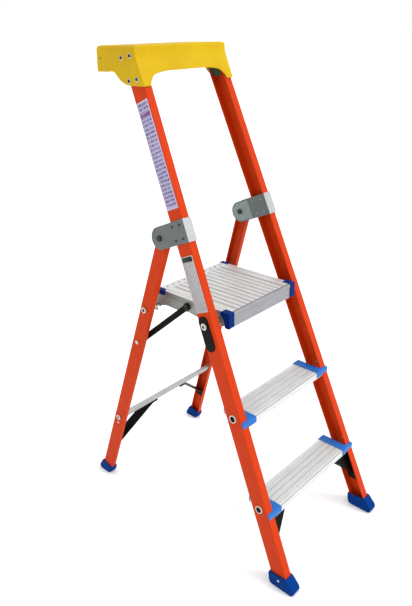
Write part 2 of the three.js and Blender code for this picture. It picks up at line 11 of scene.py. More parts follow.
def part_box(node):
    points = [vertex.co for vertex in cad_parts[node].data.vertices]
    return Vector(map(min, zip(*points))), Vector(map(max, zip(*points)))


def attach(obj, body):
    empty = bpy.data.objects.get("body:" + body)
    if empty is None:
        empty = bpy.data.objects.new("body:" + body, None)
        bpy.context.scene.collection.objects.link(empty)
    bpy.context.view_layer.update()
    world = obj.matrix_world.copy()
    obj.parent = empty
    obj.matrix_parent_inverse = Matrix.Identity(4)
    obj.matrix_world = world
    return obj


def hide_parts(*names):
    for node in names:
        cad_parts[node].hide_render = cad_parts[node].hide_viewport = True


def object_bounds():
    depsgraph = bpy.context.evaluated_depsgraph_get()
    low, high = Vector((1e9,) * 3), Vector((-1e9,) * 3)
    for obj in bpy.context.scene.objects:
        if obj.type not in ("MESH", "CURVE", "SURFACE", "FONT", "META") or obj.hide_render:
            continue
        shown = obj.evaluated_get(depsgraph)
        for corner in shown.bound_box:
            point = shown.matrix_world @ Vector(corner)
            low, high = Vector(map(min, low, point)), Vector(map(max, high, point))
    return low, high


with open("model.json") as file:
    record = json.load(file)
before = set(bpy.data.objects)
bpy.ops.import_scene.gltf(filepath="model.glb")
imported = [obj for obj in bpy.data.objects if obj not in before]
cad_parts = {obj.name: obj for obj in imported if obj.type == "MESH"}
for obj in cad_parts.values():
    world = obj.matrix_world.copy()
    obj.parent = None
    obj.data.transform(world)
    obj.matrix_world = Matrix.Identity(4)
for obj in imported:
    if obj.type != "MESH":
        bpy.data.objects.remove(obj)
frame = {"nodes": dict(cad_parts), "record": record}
NODES = frame["nodes"]
BODIES = frame["record"]["behaviour"]["bodies"]
BODY_OF = {node: body for body, nodes in BODIES.items() for node in nodes}
CAD_BOX = [list(corner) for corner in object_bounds()]
SIDES = {"left": -1, "right": 1}
LEVELS = ("upper", "lower")
X_AXIS = Vector((1, 0, 0))


# ---------------------------------------------------------------- places in the frame

def centre(node):
    low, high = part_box(node)
    return (low + high) / 2


def outermost(node):
    """How far a node reaches to the side from the ladder's middle."""
    low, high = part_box(node)
    return max(abs(low.x), abs(high.x))


def sideways(side):
    """The level direction that points away from the ladder on one side."""
    return Vector((SIDES[side], 0, 0))


def outer_face(node, side):
    """The middle of a node's outermost face on one side."""
    middle = centre(node)
    return Vector((SIDES[side] * outermost(node), middle.y, middle.z))


class Rail:
    """A channel rail's own frame on one side: x inwards from the web, y across it, z along it.

    lean tips it back and taper closes it towards the ladder's middle, both in degrees. half_width is
    how far from the middle it meets the floor. pin names a CAD node that it carries, with that node's
    place across and along the rail.
    """

    def __init__(self, lean, taper, half_width, pin):
        self.lean, self.taper, self.half_width = math.radians(lean), math.radians(taper), half_width
        node, across, along = pin
        reach = along * math.cos(self.taper) * math.sin(self.lean) + across * math.cos(self.lean)
        self.foot_y = centre(node).y - reach

    def matrix(self, side):
        leaning = Matrix.Translation((0, self.foot_y, 0)) @ Matrix.Rotation(-self.lean, 4, "X")
        closing = Matrix.Translation((-self.half_width, 0, 0)) @ Matrix.Rotation(self.taper, 4, "Y")
        mirror = Matrix.Scale(-SIDES[side], 4, X_AXIS)
        return mirror @ leaning @ closing

    def point(self, side, inwards, across, along):
        return self.matrix(side) @ Vector((inwards, across, along))

    def outwards(self, side):
        return (self.matrix(side).to_3x3() @ Vector((-1, 0, 0))).normalized()


HINGE_ACROSS, HINGE_ALONG = 0.123, 1.190
FRONT_FLANGE_WIDTH = 0.028
FRONT = Rail(lean=22.6, taper=2.55, half_width=0.2572, pin=("hinge_pin_left", HINGE_ACROSS, HINGE_ALONG))
REAR = Rail(lean=-18.7, taper=3.32, half_width=0.2636, pin=("spreader_pin_left", 0.024, 0.6843))


# ---------------------------------------------------------------- material nodes

def srgb(red, green, blue):
    """A linear colour, with its alpha, from 0 to 255 values."""
    shares = [value / 255 for value in (red, green, blue)]
    return (*(((share + 0.055) / 1.055) ** 2.4 if share > 0.04045 else share / 12.92 for share in shares), 1)


class Paint:
    """A material with its node tree, and short ways to add the nodes that every finish here uses.

    lean, in radians, turns its pattern to run along a leaning rail.
    """

    def __init__(self, name, lean=0.0):
        self.material = bpy.data.materials.new(name)
        self.material.use_nodes = True
        self.tree = self.material.node_tree
        self.shader = self.tree.nodes["Principled BSDF"]
        place = self.add("ShaderNodeTexCoord")
        turned = self.add("ShaderNodeMapping", {"Vector": place.outputs["Object"], "Rotation": (lean, 0, 0)})
        self.place = turned.outputs["Vector"]

    def add(self, kind, inputs=None, **settings):
        """Adds a node. An input is either a value or a socket to link."""
        node = self.tree.nodes.new(kind)
        for key, value in settings.items():
            setattr(node, key, value)
        for key, value in (inputs or {}).items():
            if isinstance(value, bpy.types.NodeSocket):
                self.tree.links.new(value, node.inputs[key])
            else:
                node.inputs[key].default_value = value
        return node

    def noise(self, scale, detail=3.0, stretch=(1, 1, 1), rough=0.55):
        """Noise of so many grains to the metre, drawn out by stretch."""
        moved = self.add("ShaderNodeMapping", {"Vector": self.place, "Scale": stretch})
        made = self.add(
            "ShaderNodeTexNoise",
            {"Vector": moved.outputs["Vector"], "Scale": scale, "Detail": detail, "Roughness": rough},
        )
        return made.outputs["Fac"]

    def span(self, value, low, high, out_low=0.0, out_high=1.0):
        """A value between low and high, mapped to between out_low and out_high and held there."""
        made = self.add(
            "ShaderNodeMapRange",
            {"Value": value, "From Min": low, "From Max": high, "To Min": out_low, "To Max": out_high},
        )
        return made.outputs["Result"]

    def math(self, operation, first, second=0.0):
        made = self.add("ShaderNodeMath", {0: first, 1: second}, operation=operation)
        return made.outputs["Value"]

    def mix(self, amount, first, second):
        """The first colour where amount is 0, the second where it is 1."""
        made = self.add("ShaderNodeMix", data_type="RGBA")
        colours = [socket for socket in made.inputs if socket.type == "RGBA"]
        for socket, value in zip([made.inputs["Factor"], *colours], [amount, first, second]):
            if isinstance(value, bpy.types.NodeSocket):
                self.tree.links.new(value, socket)
            else:
                socket.default_value = value
        return [socket for socket in made.outputs if socket.type == "RGBA"][0]

    def edges(self, radius):
        """1 on edges, where a rounded normal turns away from the flat one, and 0 on flat faces."""
        rounded = self.add("ShaderNodeBevel", {"Radius": radius}, samples=4)
        flat = self.add("ShaderNodeNewGeometry")
        dot = self.add(
            "ShaderNodeVectorMath",
            {0: rounded.outputs["Normal"], 1: flat.outputs["Normal"]},
            operation="DOT_PRODUCT",
        )
        turned_away = 5 / 6
        return self.span(dot.outputs["Value"], 1.0, turned_away)

    def bump(self, height, strength, distance):
        """Fine relief from a height of 0 to 1, as deep as distance."""
        made = self.add("ShaderNodeBump", {"Height": height, "Strength": strength, "Distance": distance})
        self.tree.links.new(made.outputs["Normal"], self.shader.inputs["Normal"])

    def side_facing(self):
        """1 on faces turned sideways, 0 on faces turned to the front, the rear or up."""
        normal = self.add("ShaderNodeNewGeometry").outputs["Normal"]
        split = self.add("ShaderNodeSeparateXYZ", {"Vector": normal})
        return self.span(self.math("ABSOLUTE", split.outputs["X"]), 0.45, 0.9)

    def hollows(self, tops):
        """1 on the upward faces of grooves, 0.4 to 4 mm below one of the given heights."""
        height = self.add("ShaderNodeSeparateXYZ", {"Vector": self.place}).outputs["Z"]
        normal = self.add("ShaderNodeNewGeometry").outputs["Normal"]
        upward = self.add("ShaderNodeSeparateXYZ", {"Vector": normal}).outputs["Z"]
        shallowest, deepest = 0.0004, 0.004
        found = 0.0
        for top in tops:
            below = self.math("LESS_THAN", height, top - shallowest)
            near = self.math("GREATER_THAN", height, top - deepest)
            found = self.math("ADD", found, self.math("MULTIPLY", below, near))
        return self.math("MULTIPLY", found, self.span(upward, 0.3, 0.7))

    def finish(self, colour, roughness, metallic=0.0, specular=0.5):
        """Links the varying colour and roughness, and sets what is the same all over."""
        for key, value in (("Base Color", colour), ("Roughness", roughness)):
            self.tree.links.new(value, self.shader.inputs[key])
        self.shader.inputs["Metallic"].default_value = metallic
        self.shader.inputs["Specular IOR Level"].default_value = specular
        return self.material


# ---------------------------------------------------------------- finishes

def fibreglass(name, lean):
    """Pultruded resin: fine strands along the rail under a satin skin, a little scuffed."""
    paint = Paint(name, lean)
    strands = paint.noise(420, 4, (1, 1, 0.018))
    veil = paint.noise(1500, 2)
    cloud = paint.noise(7, 3)
    scuff = paint.span(paint.noise(38, 6, (1, 1, 0.25), 0.7), 0.63, 0.74)
    base = paint.mix(paint.span(strands, 0.32, 0.68), srgb(177, 46, 6), srgb(200, 62, 12))
    base = paint.mix(paint.span(cloud, 0.3, 0.7, 0.0, 0.6), base, srgb(186, 50, 6))
    base = paint.mix(paint.math("MULTIPLY", scuff, 0.22), base, srgb(214, 110, 80))
    rough = paint.math("ADD", paint.span(veil, 0.3, 0.7, 0.40, 0.52), paint.math("MULTIPLY", scuff, 0.15))
    paint.bump(paint.math("ADD", strands, paint.math("MULTIPLY", veil, 0.35)), 0.35, 0.0003)
    return paint.finish(base, rough, specular=0.08)


def moulded_plastic(name, deep, light, worn, rough, grain, specular=0.1):
    """Injection moulding: fine spark grain, slow colour drift, paler rubbed edges."""
    paint = Paint(name)
    drift = paint.noise(9, 4)
    fine = paint.noise(grain, 2)
    scratch = paint.span(paint.noise(60, 6, (1, 0.12, 1), 0.7), 0.64, 0.72)
    base = paint.mix(paint.span(drift, 0.3, 0.7), deep, light)
    base = paint.mix(paint.math("MULTIPLY", paint.edges(0.0016), 0.45), base, worn)
    base = paint.mix(paint.math("MULTIPLY", scratch, 0.3), base, worn)
    shine = paint.span(paint.noise(22, 4), 0.3, 0.7, rough - 0.06, rough + 0.08)
    paint.bump(fine, 0.25, 0.0002)
    return paint.finish(base, shine, specular=specular)


def drawn_metal(name, dark, light, rough, stretch, metallic=0.6, soil=0.25, painted_side_shade=None, tops=(), groove_darkening=0.0):
    """Extruded or rolled metal: draw lines, patchy oxide, soil.

    A given pair of side tones is painted shade: darker tones on faces turned sideways. The
    upward floors of the grooves below the heights in tops are darkened by the given share.
    """
    paint = Paint(name)
    lines = paint.noise(900, 4, stretch)
    patch = paint.noise(26, 4)
    stain = paint.span(paint.noise(75, 5, rough=0.65), 0.6, 0.75)
    base = paint.mix(paint.span(lines, 0.3, 0.7), dark, light)
    # Painted shade: faces turned sideways take the darker side tones.
    if painted_side_shade:
        side_shade_tones = paint.mix(paint.span(lines, 0.3, 0.7), *painted_side_shade)
        base = paint.mix(paint.side_facing(), base, side_shade_tones)
    base = paint.mix(paint.math("MULTIPLY", stain, soil), base, dark)
    # Darkens the upward floors of the grooves below the given heights towards a mid grey.
    if tops:
        base = paint.mix(paint.math("MULTIPLY", paint.hollows(tops), groove_darkening), base, srgb(92, 93, 92))
    shine = paint.span(patch, 0.3, 0.7, rough - 0.05, rough + 0.07)
    shine = paint.math("ADD", shine, paint.math("MULTIPLY", stain, 0.1))
    paint.bump(lines, 0.22, 0.00025)
    return paint.finish(base, shine, metallic)


def powder_coat(name, deep, light, rough):
    """Coated steel: orange-peel skin, chipped paler along its edges."""
    paint = Paint(name)
    peel = paint.noise(420, 2)
    drift = paint.noise(30, 4)
    base = paint.mix(paint.span(drift, 0.3, 0.7), deep, light)
    chips = paint.math("MULTIPLY", paint.edges(0.0012), paint.span(paint.noise(160, 4), 0.5, 0.62))
    base = paint.mix(paint.math("MULTIPLY", chips, 0.45), base, srgb(92, 90, 88))
    shine = paint.span(peel, 0.3, 0.7, rough - 0.05, rough + 0.1)
    paint.bump(peel, 0.3, 0.0003)
    return paint.finish(base, shine, specular=0.08)


def label_span(node, rail):
    """A label's lowest and highest place along its rail, read from the CAD node."""
    turn = Matrix.Rotation(rail.lean, 4, "X")
    heights = [(turn @ vertex.co).z for vertex in NODES[node].data.vertices]
    return min(heights), max(heights)


def label_print(name, rail, node, inks, density, band_from, band_to):
    """Printed vinyl: a border, a coloured band and rows of meaningless marks.

    inks names its colours. The band's ends are shares of the label's height.
    """
    half_width, foot_margin, head_margin = 0.0225, 0.025, 0.985
    row_turns, row_gap = 170.0, -0.35
    paint = Paint(name, rail.lean)
    middle = (Matrix.Rotation(rail.lean, 4, "X") @ centre(node)).y
    bottom, top = label_span(node, rail)
    split = paint.add("ShaderNodeSeparateXYZ", {"Vector": paint.place})
    v = paint.span(split.outputs["Z"], bottom, top)
    u = paint.math("ABSOLUTE", paint.math("SUBTRACT", split.outputs["Y"], middle))
    field = paint.math("LESS_THAN", u, half_width)
    for edge in (paint.math("GREATER_THAN", v, foot_margin), paint.math("LESS_THAN", v, head_margin)):
        field = paint.math("MULTIPLY", field, edge)
    rows = paint.math("GREATER_THAN", paint.math("SINE", paint.math("MULTIPLY", v, row_turns)), row_gap)
    specks = paint.math("GREATER_THAN", paint.noise(230, 4, (1, 1, 1.2), 0.7), density)
    marks = paint.math("MULTIPLY", paint.math("MULTIPLY", rows, specks), field)
    drift = paint.span(paint.noise(60, 3), 0.3, 0.7, 0.6, 1.0)
    base = paint.mix(field, inks["border"], inks["paper"])
    base = paint.mix(paint.math("MULTIPLY", marks, drift), base, inks["mark"])
    above, below = paint.math("GREATER_THAN", v, band_from), paint.math("LESS_THAN", v, band_to)
    band = paint.math("MULTIPLY", above, below)
    base = paint.mix(paint.math("MULTIPLY", band, field), base, inks["band"])
    shine = paint.span(paint.noise(90, 3), 0.3, 0.7, 0.4, 0.55)
    paint.bump(marks, 0.1, 0.0001)
    return paint.finish(base, shine, specular=0.2)


def plastics():
    return {
        "yellow": moulded_plastic(
            "yellow_plastic", srgb(184, 148, 3), srgb(196, 163, 8), srgb(216, 190, 70),
            rough=0.42, grain=1400),
        "boot": moulded_plastic(
            "boot_rubber", srgb(0, 42, 104), srgb(2, 56, 130), srgb(20, 78, 148),
            rough=0.55, grain=900, specular=0.03),
        "tread_cap": moulded_plastic(
            "tread_cap_plastic", srgb(30, 94, 172), srgb(48, 112, 188), srgb(100, 150, 206),
            rough=0.42, grain=1300),
        "platform_cap": moulded_plastic(
            "platform_cap_plastic", srgb(0, 30, 92), srgb(2, 40, 112), srgb(30, 74, 150),
            rough=0.42, grain=1300, specular=0.04),
    }


def aluminiums():
    along_x, along_y, along_z = (0.02, 1, 1), (1, 0.02, 1), (1, 1, 0.03)
    tread_tops = [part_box(f"{level}_tread")[1].z for level in ("lower", "upper")]
    deck_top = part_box("platform_deck")[1].z - 0.0003
    pale, grey = srgb(188, 190, 190), srgb(226, 228, 228)
    # The darker pair is painted shade for the bracket's faces turned sideways.
    shaded = (srgb(80, 86, 86), srgb(106, 112, 111))
    return {
        "tread_metal": drawn_metal(
            "tread_aluminium", pale, grey, 0.48, along_x,
            metallic=0.4, soil=0.3, tops=tread_tops, groove_darkening=0.65),
        "deck_metal": drawn_metal(
            "deck_aluminium", pale, grey, 0.5, along_y,
            metallic=0.45, soil=0.2, tops=[deck_top], groove_darkening=0.28),
        "fascia_metal": drawn_metal(
            "fascia_aluminium", srgb(132, 133, 136), srgb(158, 159, 162), 0.45, along_x),
        # The side plates' darker tone than the other aluminium is painted shade.
        "shaded_side_metal": drawn_metal(
            "side_aluminium_painted_shade", srgb(116, 122, 118), srgb(156, 160, 156), 0.45, along_y),
        # The rear brace's darker tone than the other aluminium is painted shade.
        "shaded_brace_metal": drawn_metal(
            "brace_aluminium_painted_shade", srgb(150, 154, 154), srgb(182, 186, 186), 0.45, along_x),
        "bracket": drawn_metal(
            "bracket_aluminium", srgb(158, 160, 160), srgb(190, 192, 192), 0.42, along_z,
            soil=0.1, painted_side_shade=shaded),
        "doubler": drawn_metal(
            "doubler_aluminium", srgb(104, 116, 115), srgb(134, 144, 142), 0.42, along_z, soil=0.1),
    }


def steels():
    even = (1, 1, 1)
    return {
        "steel": drawn_metal(
            "zinc_steel", srgb(170, 170, 164), srgb(214, 214, 208), 0.34, even, metallic=0.75),
        "dark_steel": drawn_metal(
            "dark_steel", srgb(24, 24, 24), srgb(52, 52, 50), 0.4, even, metallic=0.5),
        "black": powder_coat("black_coat", srgb(5, 5, 5), srgb(12, 12, 12), 0.42),
        # A dark olive on the brace inside the cap that paints the shade inside the cap.
        "cap_inside_shade": powder_coat("cap_inside_painted_shade_coat", srgb(38, 54, 34), srgb(54, 70, 48), 0.5),
    }


def make_finishes():
    rails = {
        "front_fibreglass": fibreglass("front_fibreglass", FRONT.lean),
        "rear_fibreglass": fibreglass("rear_fibreglass", REAR.lean),
    }
    return {**rails, **plastics(), **aluminiums(), **steels()}


FINISH = make_finishes()


# ---------------------------------------------------------------- CAD nodes that stay

SAME_CORNER = 1e-5


def join_corners_group():
    """Joins a CAD mesh's split corners and drops its flat normals, so that its edges can be rounded."""
    group = bpy.data.node_groups.new("Join_corners", "GeometryNodeTree")
    for way in ("INPUT", "OUTPUT"):
        group.interface.new_socket("Geometry", in_out=way, socket_type="NodeSocketGeometry")
    start = group.nodes.new("NodeGroupInput")
    drop = group.nodes.new("GeometryNodeRemoveAttribute")
    drop.inputs["Name"].default_value = "custom_normal"
    merge = group.nodes.new("GeometryNodeMergeByDistance")
    merge.inputs["Distance"].default_value = SAME_CORNER
    smooth = group.nodes.new("GeometryNodeSetShadeSmooth")
    end = group.nodes.new("NodeGroupOutput")
    chain = [start, drop, merge, smooth, end]
    for before, after in zip(chain, chain[1:]):
        group.links.new(before.outputs[0], after.inputs[0])
    return group


JOIN_CORNERS = join_corners_group()


def round_edges(obj, width, segments):
    """Joins coplanar faces, then bevels every edge sharper than 30 degrees."""
    merge = obj.modifiers.new("Join", "DECIMATE")
    merge.decimate_type = "DISSOLVE"
    merge.angle_limit = math.radians(1)
    bevel = obj.modifiers.new("Round", "BEVEL")
    bevel.width = width
    bevel.segments = segments
    bevel.limit_method = "ANGLE"
    bevel.angle_limit = math.radians(30)
    obj.modifiers.new("Normals", "WEIGHTED_NORMAL")


def dress(node, finish, width=0.0006, segments=2):
    """Gives a CAD node its finish and rounds its edges a little."""
    obj = NODES[node]
    obj.material_slots[0].material = FINISH[finish]
    obj.modifiers.new("Corners", "NODES").node_group = JOIN_CORNERS
    round_edges(obj, width, segments)


def dress_frame():
    for side in SIDES:
        dress(f"front_rail_{side}", "front_fibreglass", 0.0008)
        dress(f"rear_rail_{side}", "rear_fibreglass", 0.0008)
        dress(f"cap_brace_{side}", "cap_inside_shade")
        dress(f"tread_knee_{side}", "black")
        dress(f"rear_knee_{side}", "black")
        dress(f"hinge_bracket_{side}", "bracket", 0.0007, 3)
        dress(f"hinge_pin_{side}", "dark_steel")
        dress(f"pivot_plate_{side}", "black")
        dress(f"platform_pivot_{side}", "steel")
        dress(f"spreader_pin_{side}", "steel")
        dress(f"spreader_{side}", "black")
        dress(f"platform_side_{side}", "shaded_side_metal")
        for level in LEVELS:
            NODES[f"{level}_label_{side}"].modifiers.new("Corners", "NODES").node_group = JOIN_CORNERS
    for node in ("lower_tread", "upper_tread", "platform_rear_strip"):
        dress(node, "tread_metal", 0.0004)
    dress("rear_brace", "shaded_brace_metal", 0.0004)
    dress("platform_fascia", "fascia_metal", 0.0004)
    dress("platform_deck", "deck_metal", 0.0004)
    dress("support_bar", "steel")


def dress_labels():
    upper = {
        "paper": srgb(176, 168, 196),
        "border": srgb(184, 176, 202),
        "mark": srgb(62, 46, 118),
        "band": srgb(128, 60, 118),
    }
    lower = {
        "paper": srgb(170, 166, 169),
        "border": srgb(190, 168, 166),
        "mark": srgb(96, 94, 94),
        "band": srgb(30, 44, 36),
    }
    looks = {
        "upper": {"inks": upper, "density": 0.47, "band_from": 0.865, "band_to": 0.885},
        "lower": {"inks": lower, "density": 0.56, "band_from": 0.90, "band_to": 0.985},
    }
    for side in SIDES:
        for level, look in looks.items():
            node = f"{level}_label_{side}"
            NODES[node].material_slots[0].material = label_print(f"print_{node}", FRONT, node, **look)


# ---------------------------------------------------------------- new pieces

ALL_SMOOTH = 180


def to_piece(name, bm, body, finishes, sharp=35):
    """Turns a bmesh into a piece that rides on a body. Edges over sharp degrees keep a hard crease."""
    bmesh.ops.recalc_face_normals(bm, faces=bm.faces)
    mesh = bpy.data.meshes.new(name)
    bm.to_mesh(mesh)
    bm.free()
    for finish in finishes:
        mesh.materials.append(FINISH[finish])
    mesh.shade_smooth()
    mesh.set_sharp_from_angle(angle=math.radians(sharp))
    obj = bpy.data.objects.new(name, mesh)
    bpy.context.scene.collection.objects.link(obj)
    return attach(obj, body)


def copied(node):
    """A bmesh of a CAD node with its split corners joined."""
    bm = bmesh.new()
    bm.from_mesh(NODES[node].data)
    bmesh.ops.remove_doubles(bm, verts=bm.verts, dist=SAME_CORNER)
    return bm


def moulded(node, finish, width):
    """A copy of a CAD node that stands for it, with every edge rounded in four steps."""
    bm = copied(node)
    bmesh.ops.dissolve_limit(bm, angle_limit=math.radians(1), verts=bm.verts, edges=bm.edges)
    weights = bm.edges.layers.float.new("bevel_weight_edge")
    for edge in bm.edges:
        if len(edge.link_faces) == 2 and edge.calc_face_angle() > math.radians(28):
            edge[weights] = 1.0
    obj = to_piece(f"moulded_{node}", bm, BODY_OF[node], [finish], ALL_SMOOTH)
    bevel = obj.modifiers.new("Round", "BEVEL")
    bevel.width = width
    bevel.segments = 4
    bevel.limit_method = "WEIGHT"
    obj.modifiers.new("Normals", "WEIGHTED_NORMAL")
    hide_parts(node)


def softened(node, finish, grid, passes):
    """A soft-edged copy of a CAD node that stands for it: remade on a fine grid, then relaxed."""
    obj = to_piece(f"moulded_{node}", copied(node), BODY_OF[node], [finish], ALL_SMOOTH)
    remesh = obj.modifiers.new("Grid", "REMESH")
    remesh.mode = "VOXEL"
    remesh.voxel_size = grid
    remesh.use_smooth_shade = True
    relax = obj.modifiers.new("Relax", "SMOOTH")
    relax.factor = 0.5
    relax.iterations = passes
    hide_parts(node)


def turned(name, profile, base, axis, body, finishes, slot, segments=32):
    """A turned piece on its base, with its axis along the given direction.

    profile lists (radius, height, finish) from the base up. Each finish is a place in the list of
    finishes, and covers the band from its own ring to the next.
    """
    bm = bmesh.new()
    rings = []
    for radius, height, _ in profile:
        if radius == 0:
            rings.append([bm.verts.new((0, 0, height))])
            continue
        turns = [2 * math.pi * i / segments for i in range(segments)]
        rings.append([bm.verts.new((radius * math.cos(t), radius * math.sin(t), height)) for t in turns])
    for (below, above), (_, _, finish) in zip(zip(rings, rings[1:]), profile):
        for i in range(segments):
            j = (i + 1) % segments
            lower_corners = [below[i % len(below)], below[j % len(below)]]
            upper_corners = [above[j % len(above)], above[i % len(above)]]
            face = bm.faces.new(list(dict.fromkeys(lower_corners + upper_corners)))
            face.material_index = finish
    turn = Vector(axis).to_track_quat("Z", "Y").to_matrix().to_4x4()
    bmesh.ops.transform(bm, matrix=Matrix.Translation(base) @ turn, verts=bm.verts)
    obj = to_piece(name, bm, body, finishes)
    return obj


def eyelet(radius, bore, height):
    """A hollow rivet's head: a rolled ring, with its bore in a second, darker finish that paints the shade
    inside it.
    """
    return [
        (0, 0, 0),
        (radius, 0, 0),
        (radius, height * 0.45, 0),
        (radius * 0.94, height * 0.85, 0),
        (radius * 0.82, height, 0),
        (bore * 1.15, height, 0),
        (bore, height * 0.8, 1),
        (bore * 0.9, height * 0.12, 1),
        (0, height * 0.12, 1),
    ]


def dome(radius, height):
    """A solid rivet's head."""
    steps = 6
    arc = [math.pi / 2 * i / steps for i in range(steps)]
    curve = [(radius * math.cos(t), height * (0.12 + 0.88 * math.sin(t)), 0) for t in arc]
    return [(0, 0, 0), (radius, 0, 0), *curve, (0, height, 0)]


def washer_screw(radius, height):
    """A bright washer with a darker, dished screw head on it."""
    return [
        (0, 0, 0),
        (radius, 0, 0),
        (radius, height * 0.4, 0),
        (radius * 0.94, height * 0.5, 0),
        (radius * 0.66, height * 0.5, 1),
        (radius * 0.62, height * 0.88, 1),
        (radius * 0.5, height, 1),
        (radius * 0.26, height, 1),
        (radius * 0.2, height * 0.6, 1),
        (0, height * 0.55, 1),
    ]


def plate_piece(name, outline, near, far, place, body, finish):
    """A flat plate: an outline of (across, along) points between two depths.

    place turns a depth, an across and an along into a point of the scene.
    """
    widest_round = 0.0004
    bm = bmesh.new()
    ends = [[bm.verts.new(place(depth, across, along)) for across, along in outline] for depth in (near, far)]
    bm.faces.new(ends[0])
    bm.faces.new(list(reversed(ends[1])))
    for i in range(len(outline)):
        j = (i + 1) % len(outline)
        bm.faces.new([ends[0][j], ends[0][i], ends[1][i], ends[1][j]])
    obj = to_piece(name, bm, body, [finish])
    round_edges(obj, min(widest_round, abs(far - near) * 0.4), 2)


# ---------------------------------------------------------------- moulded pieces

def make_mouldings():
    softened("top_cap", "yellow", grid=0.0021, passes=5)
    for side in SIDES:
        softened(f"front_boot_{side}", "boot", grid=0.0015, passes=24)
        softened(f"rear_boot_{side}", "boot", grid=0.0015, passes=24)
        moulded(f"platform_cap_{side}", "platform_cap", width=0.0018)
        moulded(f"platform_rear_cap_{side}", "platform_cap", width=0.0025)
        for level in LEVELS:
            moulded(f"{level}_tread_cap_{side}", "tread_cap", width=0.0009)


# ---------------------------------------------------------------- fasteners

# The black second finish in these two lists paints the shade inside the eyelets' bores.
STEEL_EYE_SHADED_BORE = ["steel", "black"]
DARK_EYE_SHADED_BORE = ["dark_steel", "black"]
BRIGHT_WASHER = ["steel", "dark_steel"]
CAP_SCREW_RADIUS = 0.0072


def head_from(node, profile, out, finishes):
    """A finer head standing for a CAD bolt, with its top as far out as the bolt's."""
    corners = [vertex.co for vertex in NODES[node].data.vertices]
    middle = sum(corners, Vector()) / len(corners)
    reach = max(corner.dot(out) for corner in corners)
    top = max(height for _, height, _ in profile)
    base = middle + out * (reach - top - middle.dot(out))
    obj = turned(f"head_{node}", profile, base, out, BODY_OF[node], finishes, "steel")
    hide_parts(node)


def make_bolt_heads():
    tread_eye = eyelet(radius=0.0138, bore=0.0098, height=0.0034)
    brace_eye = eyelet(radius=0.0105, bore=0.0045, height=0.0034)
    spreader_eye = eyelet(radius=0.0085, bore=0.004, height=0.0026)
    cap_screw = washer_screw(CAP_SCREW_RADIUS, height=0.0034)
    for side in SIDES:
        out = sideways(side)
        for level in LEVELS:
            head_from(f"{level}_tread_bolt_{side}", tread_eye, FRONT.outwards(side), STEEL_EYE_SHADED_BORE)
            head_from(f"cap_bolt_{level}_{side}", cap_screw, out, BRIGHT_WASHER)
        head_from(f"rear_brace_bolt_{side}", brace_eye, out, STEEL_EYE_SHADED_BORE)
        head_from(f"spreader_rivet_{side}", spreader_eye, out, DARK_EYE_SHADED_BORE)


def make_cap_screws():
    """Two more screws a side, and the small moulded dimple near the cap's rear, with painted shade in its
    hollow.
    """
    places = {"rear_high": (0.052, 1.708), "front_low": (0.016, 1.633)}
    dimple_from_rear, dimple_from_top = 0.023, 0.034
    screw = washer_screw(CAP_SCREW_RADIUS, height=0.003)
    dimple = eyelet(radius=0.004, bore=0.0026, height=0.0006)
    _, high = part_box("top_cap")
    for side in SIDES:
        out = sideways(side)
        face_x = SIDES[side] * outermost("top_cap")
        for name, (across, along) in places.items():
            place = FRONT.point(side, 0, across, along)
            base = Vector((face_x, place.y, place.z))
            turned(f"cap_screw_{name}_{side}", screw, base, out, "front_frame", BRIGHT_WASHER, "steel")
        base = Vector((face_x, high.y - dimple_from_rear, high.z - dimple_from_top))
        # The dimple's hollow takes dark steel: painted shade.
        finishes = ["yellow", "dark_steel"]
        turned(f"cap_dimple_{side}", dimple, base, out, "front_frame", finishes, "cap_plastic", 24)


def make_bracket_rivets():
    """Four rivets on each plate of a hinge bracket."""
    rows_across, rows_along = (0.0175, 0.051), (1.169, 1.211)
    plate = 0.00315
    head = dome(radius=0.0042, height=0.002)
    for side in SIDES:
        out = FRONT.outwards(side)
        for across in rows_across:
            for along in rows_along:
                tag = f"{int(across * 1000)}_{int(along * 1000)}_{side}"
                outside = FRONT.point(side, -plate, across, along)
                inside = FRONT.point(side, FRONT_FLANGE_WIDTH + plate, across, along)
                ways = (("outer", outside, out, "dark_steel"), ("inner", inside, -out, "doubler"))
                for way, base, towards, finish in ways:
                    name = f"bracket_rivet_{way}_{tag}"
                    turned(name, head, base, towards, "front_frame", [finish], "steel", 20)


def make_small_ends():
    """Small rivets on the rear rails and front boots, and the ends of the bar and the pins."""
    rail_rivet = dome(radius=0.0045, height=0.0022)
    boot_rivet = dome(radius=0.0045, height=0.0014)
    bar_eye = eyelet(radius=0.0105, bore=0.0056, height=0.0022)
    socket = eyelet(radius=0.0095, bore=0.005, height=0.0014)
    pin_head = dome(radius=0.0042, height=0.0016)
    low_on_rail = {"across": 0.022, "along": 0.281}
    behind_boot_middle, up_the_boot = 0.008, 0.62
    for side in SIDES:
        out = sideways(side)
        base = REAR.point(side, 0, **low_on_rail)
        name = f"rear_low_rivet_{side}"
        turned(name, rail_rivet, base, REAR.outwards(side), "rear_frame", ["steel"], "steel")

        base = outer_face(f"front_boot_{side}", side)
        base.y += behind_boot_middle
        base.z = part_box(f"front_boot_{side}")[1].z * up_the_boot
        turned(f"boot_rivet_{side}", boot_rivet, base, out, "front_frame", ["steel"], "steel", 20)

        base = outer_face("support_bar", side)
        turned(f"bar_eyelet_{side}", bar_eye, base, out, "rear_frame", STEEL_EYE_SHADED_BORE, "steel")

        pivot = f"platform_pivot_{side}"
        base = outer_face(pivot, side)
        # The socket's bore takes the dark steel finish: painted shade inside it.
        turned(f"pivot_socket_{side}", socket, base, out, BODY_OF[pivot], BRIGHT_WASHER, "steel")

        pin = f"spreader_pin_{side}"
        base = outer_face(pin, side)
        turned(f"pin_rivet_{side}", pin_head, base, out, BODY_OF[pin], ["steel"], "steel", 20)


# ---------------------------------------------------------------- thin plates and plugs

